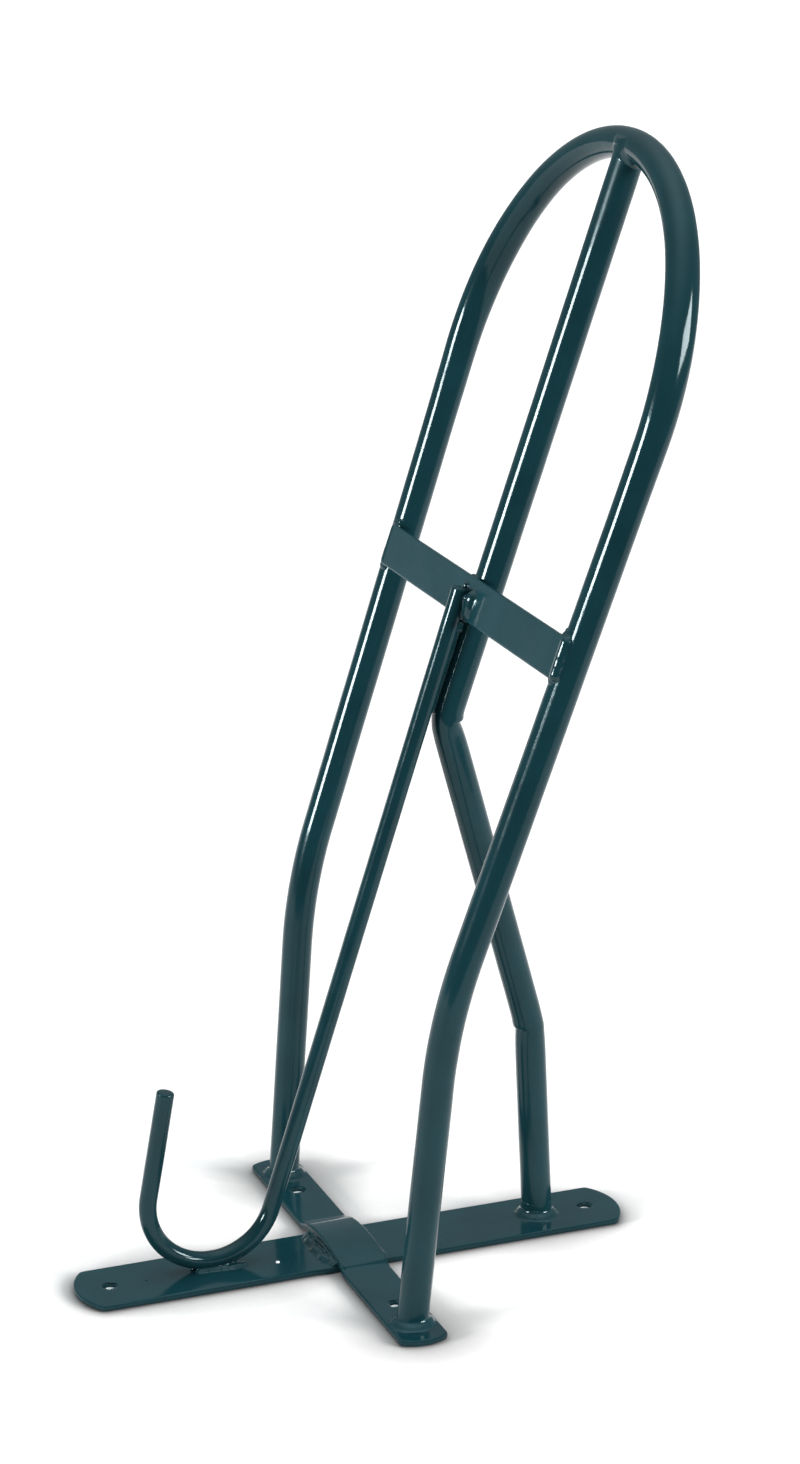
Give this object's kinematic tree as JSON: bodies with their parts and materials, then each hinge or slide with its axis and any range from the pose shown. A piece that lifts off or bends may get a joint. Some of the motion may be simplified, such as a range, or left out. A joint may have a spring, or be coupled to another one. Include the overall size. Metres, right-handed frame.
{
  "type": "wall-mounted saddle rack",
  "caption": "Coated steel saddle rack for a wall: crossed flat bars carry a leaning tubular hoop with a centre tube and a flat strap, and a round-bar bridle hook hangs below it.",
  "frame": {"origin": "where the centre lines of the two flat bars cross, on the wall plane under the long bar", "axes": "+Z straight out of the wall, +X along the long bar to its upper end, the side away from the bridle hook, +Y along the short bar"},
  "size_m": [0.3569, 0.289, 0.6668],
  "materials": {
    "bar_coat": "gloss dark green-blue powder coat on flat bar",
    "tube_coat": "gloss dark green-blue powder coat on tube",
    "strap_coat": "gloss dark green-blue powder coat on flat strap",
    "hook_coat": "gloss dark green-blue powder coat on round bar",
    "weld_coat": "gloss dark green-blue powder coat over rough weld"
  },
  "bodies": {
    "root": {"long_wall_bar": "bar_coat", "short_wall_bar": "bar_coat", "side_hoop": "tube_coat", "centre_tube": "tube_coat", "cross_strap": "strap_coat", "bridle_hook": "hook_coat", "hoop_foot_weld_left": "weld_coat", "hoop_foot_weld_right": "weld_coat", "centre_foot_weld": "weld_coat", "nose_weld": "weld_coat", "strap_weld_left": "weld_coat", "strap_weld_right": "weld_coat", "strap_weld_centre_upper": "weld_coat", "strap_weld_centre_lower": "weld_coat", "hook_strap_weld": "weld_coat", "hook_tube_weld": "weld_coat", "hook_bar_weld_left": "weld_coat", "hook_bar_weld_right": "weld_coat", "crossing_weld_lower": "weld_coat", "crossing_weld_upper": "weld_coat"}
  },
  "joints": []
}
